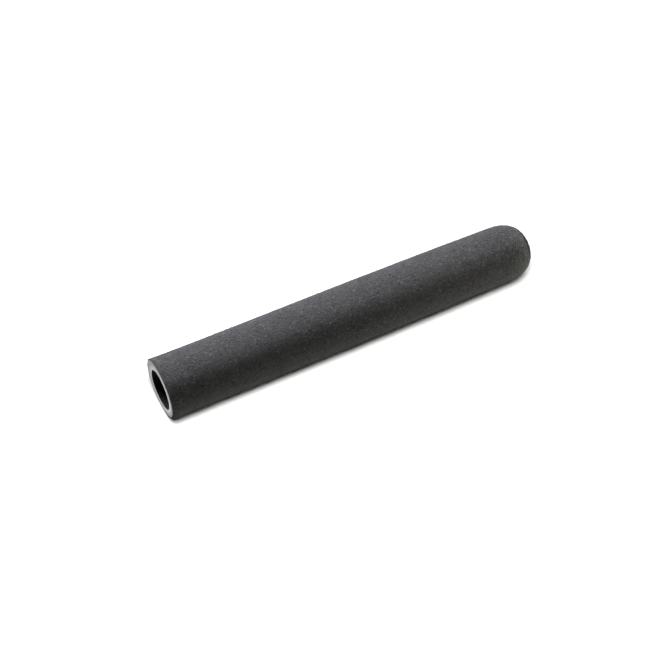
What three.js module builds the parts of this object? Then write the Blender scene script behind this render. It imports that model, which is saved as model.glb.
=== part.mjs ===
// Slip-on foam windscreen for a slim gun microphone, lying on its side.
// Millimetres, +Z up. The bore runs along X: the open mouth is at -X and the domed nose at +X.
// The origin is on the surface it lies on, below the middle of its length.
import * as THREE from "three";

// Driving dimensions
const MICROPHONE_DIAMETER = 20; // the slim microphone body that the bore grips
const WALL = 5; // foam between the bore and the outside
const LENGTH = 196; // mouth face to nose tip
const STRAIGHT_LENGTH = 75; // from the mouth, before the slow taper starts
const NOSE_RADIUS = 14.1; // where the taper ends and the nose starts to close
const NOSE_LENGTH = 16.7; // from there to the tip
const NOSE_FULLNESS = 2.54; // 2 would be a plain ellipse; more makes a blunter nose
const MOUTH_ROUNDING = 1.4; // of the foam's outer edge at the mouth
const SPIGOT_LENGTH = 15; // how far the nose plugs into the bore
const SPIGOT_CHAMFER = 1;
const RING_THICKNESS = 0.6;
const RING_EDGE = 0.1; // the ring's thickness at the bore, where it is skived thin
const SKIVE_WIDTH = 0.5;
const GLUE = 0.3; // thickness of a cured glue film
const GLUE_SETBACK = 0.6; // how far a film stays inside the pieces that it joins
const FIT_GAP = 0.08; // clearance between two pieces that touch

// Worked out from them
const BORE_RADIUS = MICROPHONE_DIAMETER / 2;
const OUTER_RADIUS = BORE_RADIUS + WALL;
const NOSE_START = LENGTH - NOSE_LENGTH;
const JOINT_GAP = GLUE + 2 * FIT_GAP;
const RECESS_DEPTH = RING_THICKNESS + JOINT_GAP;
const RECESS_RADIUS = OUTER_RADIUS - MOUTH_ROUNDING;
const RING_RADIUS = RECESS_RADIUS - FIT_GAP;
const SLEEVE_END = NOSE_START - JOINT_GAP;
const SPIGOT_RADIUS = BORE_RADIUS - JOINT_GAP;
const SPIGOT_END = NOSE_START - SPIGOT_LENGTH;
const TAPER_LENGTH = NOSE_START - STRAIGHT_LENGTH;
const TAPER_DROP = OUTER_RADIUS - NOSE_RADIUS;
const TAPER_ARC = (TAPER_LENGTH ** 2 + TAPER_DROP ** 2) / (2 * TAPER_DROP);

// Every piece has the same number of sides, turned so that one flat side faces down.
const SIDES = 32;
const AXIS_HEIGHT = OUTER_RADIUS * Math.cos(Math.PI / SIDES);
const TAPER_STEPS = 14;
const NOSE_STEPS = 14;
const EDGE_STEPS = 4;

// A profile point: distance from the bore's axis, and distance from the mouth face.
const at = (radius, along) => new THREE.Vector2(radius, along);

// Outer radius of the foam, straight and then along one long arc down to the nose.
function outerRadius(along) {
  const past = Math.max(0, along - STRAIGHT_LENGTH);
  return OUTER_RADIUS - TAPER_ARC + Math.sqrt(TAPER_ARC ** 2 - past ** 2);
}

// A rounded edge: points of a quarter circle about (radius, along), from one angle to another.
function roundedEdge(radius, along, size, fromAngle, toAngle) {
  return Array.from({ length: EDGE_STEPS + 1 }, (_, i) => {
    const angle = fromAngle + ((toAngle - fromAngle) * i) / EDGE_STEPS;
    return at(radius + size * Math.cos(angle), along + size * Math.sin(angle));
  });
}

// The blunt nose, a quarter of a superellipse from the end of the taper to the tip.
function noseCurve() {
  const power = 2 / NOSE_FULLNESS;
  const curve = Array.from({ length: NOSE_STEPS }, (_, i) => {
    const angle = ((Math.PI / 2) * i) / NOSE_STEPS;
    return at(NOSE_RADIUS * Math.cos(angle) ** power, NOSE_START + NOSE_LENGTH * Math.sin(angle) ** power);
  });
  return [...curve, at(0, LENGTH)];
}

const foam = new THREE.MeshStandardMaterial({ color: 0x38383a, roughness: 0.95, metalness: 0 });
const noseFoam = foam.clone();
const facing = new THREE.MeshStandardMaterial({ color: 0x77787a, roughness: 0.6, metalness: 0 });
const glue = new THREE.MeshStandardMaterial({ color: 0x5b5343, roughness: 0.5, metalness: 0 });
const mouthGlue = glue.clone();

// Turns a profile about the bore's axis and lays it along X at its resting height.
function turned(name, profile, material) {
  const geometry = new THREE.LatheGeometry(profile, SIDES, Math.PI / SIDES, 2 * Math.PI);
  geometry.rotateZ(-Math.PI / 2);
  const mesh = new THREE.Mesh(geometry, material);
  mesh.name = name;
  mesh.position.set(-LENGTH / 2, 0, AXIS_HEIGHT);
  return mesh;
}

// The long foam tube, bored right through, with a shallow recess in its mouth face for the ring.
function foamSleeve() {
  const taper = Array.from({ length: TAPER_STEPS + 1 }, (_, i) => {
    const along = STRAIGHT_LENGTH + ((SLEEVE_END - STRAIGHT_LENGTH) * i) / TAPER_STEPS;
    return at(outerRadius(along), along);
  });
  const profile = [
    at(BORE_RADIUS, RECESS_DEPTH),
    at(RECESS_RADIUS, RECESS_DEPTH),
    ...roundedEdge(RECESS_RADIUS, MOUTH_ROUNDING, MOUTH_ROUNDING, -Math.PI / 2, 0),
    ...taper,
    at(BORE_RADIUS, SLEEVE_END),
    at(BORE_RADIUS, RECESS_DEPTH),
  ];
  return turned("foam_sleeve", profile, foam);
}

// The blunt domed nose, with the spigot that closes the front of the bore.
function foamNose() {
  const profile = [
    at(0, SPIGOT_END),
    at(SPIGOT_RADIUS - SPIGOT_CHAMFER, SPIGOT_END),
    at(SPIGOT_RADIUS, SPIGOT_END + SPIGOT_CHAMFER),
    at(SPIGOT_RADIUS, NOSE_START),
    ...noseCurve(),
  ];
  return turned("foam_nose", profile, noseFoam);
}

// The thin smooth ring set flush into the mouth, skived from behind towards the bore.
function mouthRing() {
  const profile = [
    at(BORE_RADIUS, 0),
    at(RING_RADIUS, 0),
    at(RING_RADIUS, RING_THICKNESS),
    at(BORE_RADIUS + SKIVE_WIDTH, RING_THICKNESS),
    at(BORE_RADIUS, RING_EDGE),
    at(BORE_RADIUS, 0),
  ];
  return turned("mouth_ring", profile, facing);
}

// The cured glue between the nose and the sleeve: a film round the spigot and across the butt joint.
function noseGlue() {
  const inner = SPIGOT_RADIUS + FIT_GAP;
  const outer = BORE_RADIUS - FIT_GAP;
  const flange = NOSE_RADIUS - GLUE_SETBACK;
  const tail = SPIGOT_END + 2 * SPIGOT_CHAMFER;
  const profile = [
    at(inner, tail),
    at(outer, tail),
    at(outer, SLEEVE_END + FIT_GAP),
    at(flange, SLEEVE_END + FIT_GAP),
    at(flange, NOSE_START - FIT_GAP),
    at(inner, NOSE_START - FIT_GAP),
    at(inner, tail),
  ];
  return turned("nose_glue", profile, glue);
}

// The cured glue between the mouth ring and the sleeve.
function ringGlue() {
  const inner = BORE_RADIUS + GLUE_SETBACK;
  const outer = RING_RADIUS - GLUE_SETBACK;
  const back = RING_THICKNESS + FIT_GAP;
  const profile = [
    at(inner, back),
    at(outer, back),
    at(outer, back + GLUE),
    at(inner, back + GLUE),
    at(inner, back),
  ];
  return turned("ring_glue", profile, mouthGlue);
}

const windscreen = new THREE.Group();
windscreen.add(foamSleeve(), foamNose(), mouthRing(), noseGlue(), ringGlue());

export default windscreen;
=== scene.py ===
import math

import bpy
import numpy as np
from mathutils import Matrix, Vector, noise


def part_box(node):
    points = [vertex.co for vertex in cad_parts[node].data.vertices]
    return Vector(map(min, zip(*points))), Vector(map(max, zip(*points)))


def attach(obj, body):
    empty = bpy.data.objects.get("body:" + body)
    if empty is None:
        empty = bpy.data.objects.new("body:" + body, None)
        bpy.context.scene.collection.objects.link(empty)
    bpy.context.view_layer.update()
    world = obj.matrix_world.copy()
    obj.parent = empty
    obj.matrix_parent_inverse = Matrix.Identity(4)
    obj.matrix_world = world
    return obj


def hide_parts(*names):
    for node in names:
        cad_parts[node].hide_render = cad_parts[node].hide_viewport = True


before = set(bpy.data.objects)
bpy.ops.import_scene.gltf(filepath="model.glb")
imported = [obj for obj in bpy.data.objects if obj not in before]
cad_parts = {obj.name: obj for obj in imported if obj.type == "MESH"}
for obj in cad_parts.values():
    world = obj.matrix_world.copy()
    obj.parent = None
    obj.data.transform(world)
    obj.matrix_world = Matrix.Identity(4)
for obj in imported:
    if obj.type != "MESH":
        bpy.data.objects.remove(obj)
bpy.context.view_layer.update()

# A slip-on foam windscreen for a slim gun microphone, lying on its side on a white table. Metres.

MM = 0.001

# ---- Places, from the frame ----
ring_low, ring_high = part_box("mouth_ring")
sleeve_low, sleeve_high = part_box("foam_sleeve")
nose_low, nose_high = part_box("foam_nose")
nose_glue_low, nose_glue_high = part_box("nose_glue")
ring_glue_low, ring_glue_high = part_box("ring_glue")

CAD_SIDES = 32  # the solids' flat sides, one of them down
WALL = 5 * MM  # foam between the bore and the outside
SPIGOT_CLEARANCE = 0.46 * MM  # from the nose's spigot to the bore, filled by the glue film
STRAIGHT_LENGTH = 75 * MM  # from the mouth, before the slow taper starts
HAIRLINE = 0.02 * MM  # left between two pieces pressed face to face
GLUE_CLEARANCE = 0.08 * MM  # from a glue film to the foam round it


def round_radius(low, high):
    """The radius of the round shape whose flat-sided solid has this box."""
    return (high.y - low.y) / 2 / math.cos(math.pi / CAD_SIDES)


AXIS_HEIGHT = (sleeve_low.z + sleeve_high.z) / 2
OUTER_RADIUS = round_radius(sleeve_low, sleeve_high)
NOSE_RADIUS = round_radius(nose_low, nose_high)
RING_RADIUS = round_radius(ring_low, ring_high)
NOSE_GLUE_RADIUS = round_radius(nose_glue_low, nose_glue_high)
RING_GLUE_RADIUS = round_radius(ring_glue_low, ring_glue_high)
BORE_RADIUS = OUTER_RADIUS - WALL
SPIGOT_RADIUS = BORE_RADIUS - SPIGOT_CLEARANCE
SPIGOT_CHAMFER = 1 * MM
RECESS_RADIUS = RING_RADIUS + HAIRLINE
MOUTH_ROUNDING = OUTER_RADIUS - RECESS_RADIUS
MOUTH = ring_low.x
RING_BACK = ring_high.x
RECESS_FLOOR = ring_glue_high.x + GLUE_CLEARANCE
TAPER_START = MOUTH + STRAIGHT_LENGTH
SLEEVE_END = sleeve_high.x
NOSE_START = nose_glue_high.x + GLUE_CLEARANCE
NOSE_JOINT = (SLEEVE_END + NOSE_START) / 2
NOSE_TIP = nose_high.x
NOSE_FULLNESS = 2.54  # 2 would be a plain ellipse; more makes a blunter nose
SPIGOT_END = nose_low.x

# ---- Camera ----
AIM_FROM_MOUTH = 85.3 * MM
AIM_ASIDE = -0.36 * MM
CAMERA_AZIMUTH = math.radians(-27.06)  # 0 looks along +Y
CAMERA_ELEVATION = math.radians(51.42)
CAMERA_DISTANCE = 0.9022
CAMERA_LENS = 105.2  # millimetres
SENSOR_WIDTH = 36  # millimetres


def place_camera():
    """Looks down at the windscreen from its front, on the mouth's side."""
    look = Vector((
        -math.sin(CAMERA_AZIMUTH) * math.cos(CAMERA_ELEVATION),
        math.cos(CAMERA_AZIMUTH) * math.cos(CAMERA_ELEVATION),
        -math.sin(CAMERA_ELEVATION),
    ))
    aim = Vector((MOUTH + AIM_FROM_MOUTH, AIM_ASIDE, AXIS_HEIGHT))
    data = bpy.data.cameras.new("camera")
    data.lens = CAMERA_LENS
    data.sensor_width = SENSOR_WIDTH
    data.clip_start = 0.01
    camera = bpy.data.objects.new("camera", data)
    camera.location = aim - look * CAMERA_DISTANCE
    camera.rotation_euler = look.to_track_quat("-Z", "Y").to_euler()
    bpy.context.scene.collection.objects.link(camera)
    bpy.context.scene.camera = camera


# ---- Shader maths ----
class Signal:
    """A socket's value inside a material, so that shader maths reads as a Python expression."""

    def __init__(self, shader, socket):
        self.shader = shader
        self.socket = socket

    def math(self, operation, first, second):
        return self.shader.node("ShaderNodeMath", {"operation": operation}, {0: first, 1: second})

    def __add__(self, other):
        return self.math("ADD", self, other)

    __radd__ = __add__

    def __sub__(self, other):
        return self.math("SUBTRACT", self, other)

    def __rsub__(self, other):
        return self.math("SUBTRACT", other, self)

    def __mul__(self, other):
        return self.math("MULTIPLY", self, other)

    __rmul__ = __mul__

    def __pow__(self, other):
        return self.math("POWER", self, other)


class Shader:
    """A material's nodes, made one at a time."""

    def __init__(self, name):
        self.material = bpy.data.materials.new(name)
        self.material.use_nodes = True
        self.tree = self.material.node_tree
        self.tree.nodes.clear()

    def node(self, kind, settings=None, inputs=None, output=0):
        """A node with these settings and inputs, each a value or a Signal. Gives one of its outputs."""
        made = self.tree.nodes.new(kind)
        for name, value in (settings or {}).items():
            setattr(made, name, value)
        for key, value in (inputs or {}).items():
            if isinstance(value, Signal):
                self.tree.links.new(value.socket, made.inputs[key])
            else:
                made.inputs[key].default_value = value
        return Signal(self, made.outputs[output]) if made.outputs else None

    def place(self):
        return self.node("ShaderNodeTexCoord", output="Object")

    def cells(self, size, feature, output):
        inputs = {"Vector": self.place(), "Scale": 1 / size}
        return self.node("ShaderNodeTexVoronoi", {"feature": feature}, inputs, output)

    def cloud(self, size, detail, roughness):
        inputs = {"Vector": self.place(), "Scale": 1 / size, "Detail": detail, "Roughness": roughness}
        return self.node("ShaderNodeTexNoise", inputs=inputs)

    def along(self):
        """The distance along the bore."""
        return self.node("ShaderNodeSeparateXYZ", inputs={"Vector": self.place()})

    def height(self):
        """The height above the table."""
        return self.node("ShaderNodeSeparateXYZ", inputs={"Vector": self.place()}, output=2)

    def radius(self):
        """The distance from the bore's axis."""
        across = self.node("ShaderNodeSeparateXYZ", inputs={"Vector": self.place()}, output=1)
        return (across ** 2 + (self.height() - AXIS_HEIGHT) ** 2) ** 0.5

    def between(self, value, low, high):
        """A smooth step from 0 at low to 1 at high. low may be the larger of the two."""
        inputs = {"Value": value, "From Min": low, "From Max": high}
        return self.node("ShaderNodeMapRange", {"interpolation_type": "SMOOTHSTEP"}, inputs)

    def blend(self, factor, first, second):
        """A colour from first, where factor is 0, to second, where it is 1."""
        inputs = {"Factor": factor, 6: first, 7: second}  # 6 and 7 are the colour sockets
        return self.node("ShaderNodeMix", {"data_type": "RGBA"}, inputs, 2)

    def bump(self, height, distance):
        return self.node("ShaderNodeBump", inputs={"Height": height, "Distance": distance, "Strength": 1.0})

    def finish(self, inputs):
        """The principled shader that these inputs feed, and the finished material."""
        surface = self.node("ShaderNodeBsdfPrincipled", inputs=inputs)
        self.node("ShaderNodeOutputMaterial", inputs={"Surface": surface})
        return self.material


def grey(value, blue=None):
    """A neutral colour, or one whose blue differs a little."""
    return (value, value, value if blue is None else blue, 1)


PORE = 0.72 * MM
COARSE_PORE = 1.1 * MM
FOAM_GRAIN = 0.3 * MM
WORN_PATCH = 8 * MM
FOAM_BUMP = 0.5 * MM
BORE_SHADE_START = 0.2 * MM  # from the bore's wall into the foam, where the painted shade of the bore starts to fade
BORE_SHADE_END = 1.2 * MM
UNDERSIDE_SHADE_TOP = 12.3 * MM  # the height above the table at which the painted shade on the underside begins
UNDERSIDE_SHADE_FULL_BELOW = 7.5 * MM

STRUT = grey(0.05)
BETWEEN_STRUTS = grey(0.03)
OPEN_PORE = grey(0.014)
FLECK = grey(0.12)
WORN_FOAM = grey(0.052, 0.053)
# painted shade: the nearly black colour of the underside next to the table
UNDERSIDE_SHADE_COLOUR = grey(0.004)
# painted shade: the nearly black colour of the bore's wall
BORE_SHADE_COLOUR = grey(0.006)


def foam_material(name):
    """Charcoal open-cell foam: pale struts, dark open pores, a few bright flecks, worn patches, and painted
    shade on the underside and in the bore."""
    shader = Shader(name)
    wall = shader.cells(PORE, "DISTANCE_TO_EDGE", "Distance")
    strut = 1 - shader.between(wall, 0.0, 0.2)
    # Each pore has its own chance, a number from 0 to 1, which says if it is open or has a bright fleck.
    chance = shader.node("ShaderNodeSeparateColor", inputs={"Color": shader.cells(PORE, "F1", "Color")})
    open_pore = shader.between(chance, 0.6, 0.95)
    fleck = shader.between(chance, 0.08, 0.02)
    coarse = shader.cells(COARSE_PORE, "F1", "Distance")
    coarse_pore = shader.between(coarse, 0.5, 0.1)
    fine = shader.cloud(FOAM_GRAIN, 3.0, 0.6)
    patches = shader.cloud(WORN_PATCH, 2.0, 0.5)
    # Painted shade: the foam's colour darkens to nearly black low down on the underside, where the table
    # shades it.
    underside = shader.between(shader.height(), UNDERSIDE_SHADE_TOP, UNDERSIDE_SHADE_FULL_BELOW)
    # Painted shade: the bore's wall is coloured nearly black, where shade falls inside the tube.
    bore_shade = shader.between(shader.radius(), BORE_RADIUS + BORE_SHADE_END, BORE_RADIUS + BORE_SHADE_START)
    skin = shader.blend(strut, BETWEEN_STRUTS, STRUT)
    pitted = shader.blend(open_pore * 0.6, skin, OPEN_PORE)
    flecked = shader.blend(fleck * 0.35, pitted, FLECK)
    worn = shader.blend(shader.between(patches, 0.35, 0.7) * 0.2, flecked, WORN_FOAM)
    with_underside_shade = shader.blend(underside * 0.9, worn, UNDERSIDE_SHADE_COLOUR)
    return shader.finish({
        "Base Color": shader.blend(bore_shade, with_underside_shade, BORE_SHADE_COLOUR),
        "Roughness": 0.95,
        "Specular IOR Level": 0.05,
        "Sheen Weight": 0.05,
        "Sheen Roughness": 0.6,
        "Sheen Tint": (0.75, 0.72, 0.76, 1),
        "Normal": shader.bump(
            strut * 0.5 - open_pore * 0.9 + fleck * 0.5 + fine * 0.4 - coarse_pore * 0.8, FOAM_BUMP),
    })


FACING_GRAIN = 0.35 * MM
FACING_PATCH = 5 * MM
FACING_BUMP = 0.03 * MM
FACING_DEPTH = 0.04 * MM  # how far behind its face the facing is still grey
FACING_FADE = 0.03 * MM
FACING_OUTSIDE = grey(0.075, 0.077)
# painted highlight: the light grey that the face reaches at the bore
FACING_BORE_HIGHLIGHT = grey(0.34, 0.345)
FACING_WORN = grey(0.12, 0.122)
# painted shade: the nearly black colour of the facing's edge behind its face
FACING_EDGE_SHADE = grey(0.01)


def facing_material():
    """The smooth grey skin of the mouth ring, with a painted highlight that lightens it towards the bore and
    painted shade on its edge behind its face.
    """
    shader = Shader("mouth_facing_skin")
    grain = shader.cloud(FACING_GRAIN, 3.0, 0.6)
    patches = shader.cloud(FACING_PATCH, 2.0, 0.5)
    # Painted highlight: the face is coloured lighter towards the bore, where its inner edge catches the
    # light.
    bore_edge_highlight = shader.between(shader.radius(), RING_RADIUS, BORE_RADIUS)
    skin = shader.blend(bore_edge_highlight, FACING_OUTSIDE, FACING_BORE_HIGHLIGHT)
    face = shader.blend(shader.between(patches, 0.3, 0.7) * 0.3, skin, FACING_WORN)
    # Painted shade: behind its face the facing's edge is coloured nearly black, where the bore shades it.
    grey_end = MOUTH + FACING_DEPTH
    edge_shade = shader.between(shader.along(), grey_end, grey_end + FACING_FADE)
    return shader.finish({
        "Base Color": shader.blend(edge_shade, face, FACING_EDGE_SHADE),
        "Roughness": 0.38 + grain * 0.2,
        "Normal": shader.bump(grain, FACING_BUMP),
    })


GLUE_BUBBLE = 0.9 * MM
GLUE_FLOW = 4 * MM
GLUE_BUMP = 0.05 * MM
DARK_GLUE = (0.16, 0.11, 0.05, 1)
PALE_GLUE = (0.30, 0.22, 0.11, 1)


def glue_material():
    shader = Shader("cured_glue_film")
    bubbles = shader.cells(GLUE_BUBBLE, "F1", "Distance")
    flow = shader.cloud(GLUE_FLOW, 3.0, 0.5)
    return shader.finish({
        "Base Color": shader.blend(flow, DARK_GLUE, PALE_GLUE),
        "Roughness": 0.3 + flow * 0.2,
        "Normal": shader.bump(shader.between(bubbles, 0.1, 0.4) + flow, GLUE_BUMP),
    })


# ---- Turned pieces ----
SIDES = 208  # round each piece
WIDE_SIDE = math.radians(54.6)  # from straight up, towards the back: where the mouth's wall is widest
WIDE_FALLOFF = 3  # higher keeps the wide side narrower

# The relief's sizes and heights, in millimetres
FOAM_LUMP, FOAM_LUMP_HEIGHT = 9.0, 0.05
FOAM_BUMP_SIZE, FOAM_BUMP_HEIGHT = 1.7, 0.06
PIT_SPACING, PIT_WIDTH, PIT_DEPTH = 1.25, 0.6, 0.24
FACING_WAVE, FACING_WAVE_HEIGHT = 6.0, 0.03
FACING_TEXTURE, FACING_TEXTURE_HEIGHT = 0.8, 0.006

# How many points go along each part of the sections
EDGE_ROWS = 6
SLEEVE_ROWS = 384
SLEEVE_END_ROWS = 8
BORE_ROWS = 48
RECESS_ROWS = 6
SPIGOT_END_ROWS = 14
SPIGOT_ROWS = 12
NOSE_JOINT_ROWS = 6
NOSE_ROWS = 56
FACING_ROWS = 12

FLARE_LENGTH = 9 * MM  # how quickly the flare at the mouth dies away
WIDE_FLARE = 0.42 * MM
WIDE_ROUNDING = 0.6 * MM
GLUE_LIP = 0.55 * MM  # foam that hides the edge of the ring's glue film, at the bore
SKIVED_EDGE = 0.1 * MM  # the mouth ring's thickness at the bore
SKIVE_RADIUS = BORE_RADIUS + 0.5 * MM
NOSE_GLUE_EDGE = NOSE_GLUE_RADIUS + GLUE_CLEARANCE
RING_GLUE_EDGE = RING_GLUE_RADIUS + GLUE_CLEARANCE


def steps(start, end, count):
    """Evenly spaced values from start up to, but not including, end."""
    return [start + (end - start) * i / count for i in range(count)]


def rounded_edge(radius, along, size):
    """A quarter circle about (radius, along), from the mouth's side round to the outside."""
    angles = steps(-math.pi / 2, 0, EDGE_ROWS)
    return [(radius + size * math.cos(a), along + size * math.sin(a)) for a in angles]


def turned(name, profile, relief, wide_profile=None):
    """A solid of revolution about the bore's axis. profile is a loop of (radius, x) points, or runs from
    axis to axis. wide_profile, with as many points, takes over on the wide side, up and to the back.
    relief(points) gives how far each point moves along its normal."""
    profile = np.array(profile)
    wide_profile = profile if wide_profile is None else np.array(wide_profile)
    closed = profile[0, 0] > 0
    inside = slice(None) if closed else slice(1, -1)
    turn = 2 * math.pi * np.arange(SIDES) / SIDES
    share = ((1 + np.cos(turn - WIDE_SIDE)) / 2) ** WIDE_FALLOFF
    inner = profile[inside, :, None] * (1 - share) + wide_profile[inside, :, None] * share
    radius, along = inner[:, 0], inner[:, 1]
    y = radius * np.sin(turn)
    z = AXIS_HEIGHT + radius * np.cos(turn)
    points = np.stack([along, y, z], axis=-1).reshape(-1, 3)
    rings = len(along)
    faces = []
    for ring in range(rings if closed else rings - 1):
        a, b = ring * SIDES, (ring + 1) % rings * SIDES
        faces += [(a + s, b + s, b + (s + 1) % SIDES, a + (s + 1) % SIDES) for s in range(SIDES)]
    if not closed:
        first, last = len(points), len(points) + 1
        ends = [[profile[0, 1], 0, AXIS_HEIGHT], [profile[-1, 1], 0, AXIS_HEIGHT]]
        points = np.vstack([points, ends])
        end = (rings - 1) * SIDES
        faces += [(first, s, (s + 1) % SIDES) for s in range(SIDES)]
        faces += [(end + s, last, end + (s + 1) % SIDES) for s in range(SIDES)]
    mesh = bpy.data.meshes.new(name)
    mesh.from_pydata(points.tolist(), [], faces)
    mesh.update()
    normals = np.zeros(len(points) * 3)
    mesh.vertex_normals.foreach_get("vector", normals)
    moved = points + normals.reshape(-1, 3) * relief(points)[:, None]
    moved[:, 2] = np.maximum(moved[:, 2], sleeve_low.z)
    mesh.vertices.foreach_set("co", moved.ravel())
    mesh.update()
    mesh.shade_smooth()
    piece = bpy.data.objects.new(name, mesh)
    bpy.context.scene.collection.objects.link(piece)
    return piece


def foam_relief(points):
    """The cut foam's surface: slow unevenness, fine grain and open pores, in metres along the normal."""
    out = np.empty(len(points))
    for i, point in enumerate(points):
        p = Vector(point) * 1000  # in millimetres
        lumps = noise.noise(p / FOAM_LUMP)
        bumps = noise.noise(p / FOAM_BUMP_SIZE)
        distance = noise.voronoi(p / PIT_SPACING)[0][0]
        pit = max(0.0, 1 - distance / PIT_WIDTH)
        out[i] = FOAM_LUMP_HEIGHT * lumps + FOAM_BUMP_HEIGHT * bumps - PIT_DEPTH * pit * pit
    return out * MM


def ring_relief(points):
    """The facing's slight waviness, from being pressed on by hand."""
    out = np.empty(len(points))
    for i, point in enumerate(points):
        p = Vector(point) * 1000  # in millimetres
        wave = FACING_WAVE_HEIGHT * noise.noise(p / FACING_WAVE)
        out[i] = wave + FACING_TEXTURE_HEIGHT * noise.noise(p / FACING_TEXTURE)
    return out * MM


def outer_radius(along):
    """The sleeve's radius: straight, then one long arc down to the nose."""
    past = max(0.0, along - TAPER_START)
    length, drop = NOSE_START - TAPER_START, OUTER_RADIUS - NOSE_RADIUS
    reach = (length ** 2 + drop ** 2) / (2 * drop)
    return OUTER_RADIUS - reach + math.sqrt(reach ** 2 - past ** 2)


def sleeve_profile(rounding, flare):
    """The sleeve's section. rounding is the radius of its edge at the mouth, and flare is how far the
    outside stands out there."""
    recess_radius = OUTER_RADIUS + flare - rounding
    front_lip = RING_BACK + HAIRLINE
    end_lip = NOSE_JOINT - HAIRLINE
    start = MOUTH + rounding
    profile = rounded_edge(recess_radius, start, rounding)
    for x in steps(start, end_lip, SLEEVE_ROWS):
        profile.append((outer_radius(x) + flare * math.exp((start - x) / FLARE_LENGTH), x))
    profile += [(outer_radius(end_lip), end_lip), (NOSE_GLUE_EDGE, end_lip)]
    profile += [(r, SLEEVE_END) for r in steps(NOSE_GLUE_EDGE, BORE_RADIUS, SLEEVE_END_ROWS)]
    bore_start = MOUTH + SKIVED_EDGE + HAIRLINE
    bore_length = SLEEVE_END - bore_start
    # The bore's rows crowd together towards the mouth, where they can be seen.
    profile += [(BORE_RADIUS, bore_start + bore_length * (1 - t) ** 3) for t in steps(0, 1, BORE_ROWS)]
    glue_bore_edge = BORE_RADIUS + GLUE_LIP
    profile += [(BORE_RADIUS, bore_start), (SKIVE_RADIUS, front_lip), (glue_bore_edge, front_lip)]
    profile += [(r, RECESS_FLOOR) for r in steps(glue_bore_edge, RING_GLUE_EDGE, RECESS_ROWS)]
    profile += [(RING_GLUE_EDGE, RECESS_FLOOR), (RING_GLUE_EDGE, front_lip), (recess_radius, front_lip)]
    return profile[::-1]


def foam_sleeve():
    usual = sleeve_profile(MOUTH_ROUNDING, 0)
    wide = sleeve_profile(WIDE_ROUNDING, WIDE_FLARE)
    return turned("foam_sleeve_skin", usual, foam_relief, wide)


def nose_curve():
    """The blunt nose, a quarter of a superellipse from the joint to the tip."""
    power = 2 / NOSE_FULLNESS
    length = NOSE_TIP - NOSE_START
    angles = steps(0, math.pi / 2, NOSE_ROWS)
    return [(NOSE_RADIUS * math.cos(a) ** power, NOSE_START + length * math.sin(a) ** power) for a in angles]


def foam_nose():
    """The nose and its spigot, with a recess round the spigot for the flange of the glue film."""
    lip = NOSE_JOINT + HAIRLINE
    spigot_end_radius = SPIGOT_RADIUS - SPIGOT_CHAMFER
    profile = [(0, SPIGOT_END)]
    profile += [(r, SPIGOT_END) for r in steps(0, spigot_end_radius, SPIGOT_END_ROWS)[1:]]
    profile += [(spigot_end_radius, SPIGOT_END)]
    profile += [(SPIGOT_RADIUS, x) for x in steps(SPIGOT_END + SPIGOT_CHAMFER, NOSE_START, SPIGOT_ROWS)]
    profile += [(r, NOSE_START) for r in steps(SPIGOT_RADIUS, NOSE_GLUE_EDGE, NOSE_JOINT_ROWS)]
    profile += [(NOSE_GLUE_EDGE, NOSE_START), (NOSE_GLUE_EDGE, lip), (NOSE_RADIUS, lip)]
    profile += nose_curve()
    profile += [(0, NOSE_TIP)]
    return turned("foam_nose_skin", profile[::-1], foam_relief)


def ring_profile(radius):
    """The facing's section: flat in front, and skived from behind so that it is thin at the bore."""
    profile = [(radius, MOUTH)]
    profile += [(r, MOUTH) for r in steps(radius, BORE_RADIUS, FACING_ROWS)[1:]]
    profile += [(BORE_RADIUS, MOUTH), (BORE_RADIUS, MOUTH + SKIVED_EDGE), (SKIVE_RADIUS, RING_BACK)]
    profile += [(radius, RING_BACK)]
    return profile[::-1]


def mouth_ring():
    wide_radius = OUTER_RADIUS + WIDE_FLARE - WIDE_ROUNDING - HAIRLINE
    return turned("mouth_ring_skin", ring_profile(RING_RADIUS), ring_relief, ring_profile(wide_radius))


def add(piece, material, node):
    """Gives a visual piece its material, hangs it on the root body and hides the CAD node that it stands for.
    """
    piece.data.materials.append(material)
    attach(piece, "root")
    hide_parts(node)
    return piece


def build_windscreen():
    """The three pieces that can be seen. The two glue films keep their CAD solids, with a glue material."""
    sleeve = add(foam_sleeve(), foam_material("sleeve_foam"), "foam_sleeve")
    nose = add(foam_nose(), foam_material("nose_foam"), "foam_nose")
    ring = add(mouth_ring(), facing_material(), "mouth_ring")
    glue = glue_material()
    for name in ("nose_glue", "ring_glue"):
        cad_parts[name].data.materials.clear()
        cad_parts[name].data.materials.append(glue)
    return [sleeve, nose, ring]


# ---- Table and light ----
TABLE_SIZE = 4.0  # from its middle to each side
SWEEP_START = 0.5  # from the middle of the table, where it starts to run up to the white backdrop
SWEEP_END = 1.2  # where it is as white as the backdrop
TABLE_GREY = grey(0.36)
WHITE = grey(1)
BLACK = grey(0)
ROOM_GLOW = 0.02

COOL_LIGHT = (0.945, 0.935, 1.0)
WARM_LIGHT = (1.0, 1.0, 0.84)
TIP_LIGHT = (1.0, 1.0, 0.95)
TABLE_LIGHT = (1.0, 1.0, 0.98)


def table():
    """A white table top that brightens into the backdrop, well away from the windscreen."""
    size = TABLE_SIZE
    mesh = bpy.data.meshes.new("table")
    corners = [(-size, -size, 0), (size, -size, 0), (size, size, 0), (-size, size, 0)]
    mesh.from_pydata(corners, [], [(0, 1, 2, 3)])
    top = bpy.data.objects.new("table", mesh)
    bpy.context.scene.collection.objects.link(top)
    shader = Shader("white_table")
    from_middle = shader.node("ShaderNodeVectorMath", {"operation": "LENGTH"}, {0: shader.place()}, 1)
    sweep = shader.between(from_middle, SWEEP_START, SWEEP_END)
    mesh.materials.append(shader.finish({
        "Base Color": TABLE_GREY,
        "Roughness": 0.9,
        "Specular IOR Level": 0.0,
        "Emission Color": shader.blend(sweep, BLACK, WHITE),
        "Emission Strength": 1.0,
    }))
    return top


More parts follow.
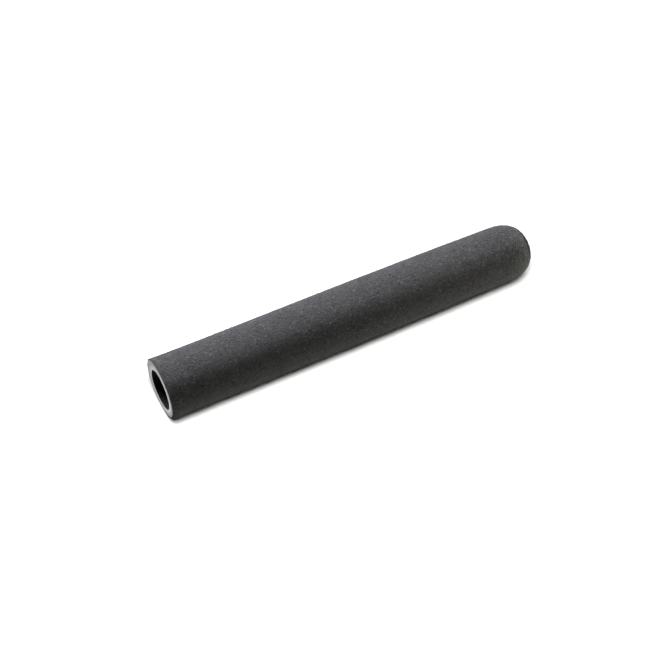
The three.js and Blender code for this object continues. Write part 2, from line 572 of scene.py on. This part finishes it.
def softbox(name, size, power, azimuth, elevation, distance, color, only):
    """A square light that faces the windscreen, and lights only the things that only lists. Power is in
    watts and the angles are in degrees. Azimuth 0 is behind the windscreen, on the +Y side, and 90 is off
    its nose."""
    data = bpy.data.lights.new(name, "AREA")
    data.shape = "SQUARE"
    data.size = size
    data.energy = power
    data.color = color
    azimuth, elevation = math.radians(azimuth), math.radians(elevation)
    direction = Vector((
        math.sin(azimuth) * math.cos(elevation),
        math.cos(azimuth) * math.cos(elevation),
        math.sin(elevation),
    ))
    lamp = bpy.data.objects.new(name, data)
    lamp.location = direction * distance
    lamp.rotation_euler = (-direction).to_track_quat("-Z", "Y").to_euler()
    lamp.visible_camera = False
    bpy.context.scene.collection.objects.link(lamp)
    lit = bpy.data.collections.new(name + "_lights_only")
    for thing in only:
        lit.objects.link(thing)
    lamp.light_linking.receiver_collection = lit


def backdrop():
    """A white cyclorama all round the set. Only the camera sees it: it lights nothing and shades nothing."""
    bpy.ops.mesh.primitive_uv_sphere_add(segments=48, ring_count=24, radius=TABLE_SIZE)
    dome = bpy.context.object
    dome.name = "backdrop"
    shader = Shader("white_backdrop")
    glow = shader.node("ShaderNodeEmission", inputs={"Color": WHITE, "Strength": 1.0})
    shader.node("ShaderNodeOutputMaterial", inputs={"Surface": glow})
    dome.data.materials.append(shader.material)
    dome.visible_diffuse = False
    dome.visible_glossy = False
    dome.visible_transmission = False
    dome.visible_shadow = False


def light_room(windscreen, table_top):
    """A faint glow all round, three softboxes for the windscreen and one for the table."""
    world = bpy.data.worlds.new("room")
    world.use_nodes = True
    background = world.node_tree.nodes["Background"]
    background.inputs["Color"].default_value = WHITE
    background.inputs["Strength"].default_value = ROOM_GLOW
    bpy.context.scene.world = world
    softbox("back_softbox", size=0.55, power=57, azimuth=-12, elevation=45, distance=1.05,
            color=COOL_LIGHT, only=windscreen)
    softbox("nose_softbox", size=0.2, power=0.66, azimuth=129, elevation=14, distance=0.3,
            color=WARM_LIGHT, only=windscreen)
    softbox("tip_softbox", size=0.05, power=0.2, azimuth=97, elevation=1.5, distance=0.175,
            color=TIP_LIGHT, only=windscreen)
    softbox("table_softbox", size=0.66, power=92, azimuth=207, elevation=68.5, distance=1.4,
            color=TABLE_LIGHT, only=[table_top])
    bpy.context.scene.view_settings.view_transform = "Standard"


place_camera()
windscreen = build_windscreen()
light_room(windscreen, table())
backdrop()
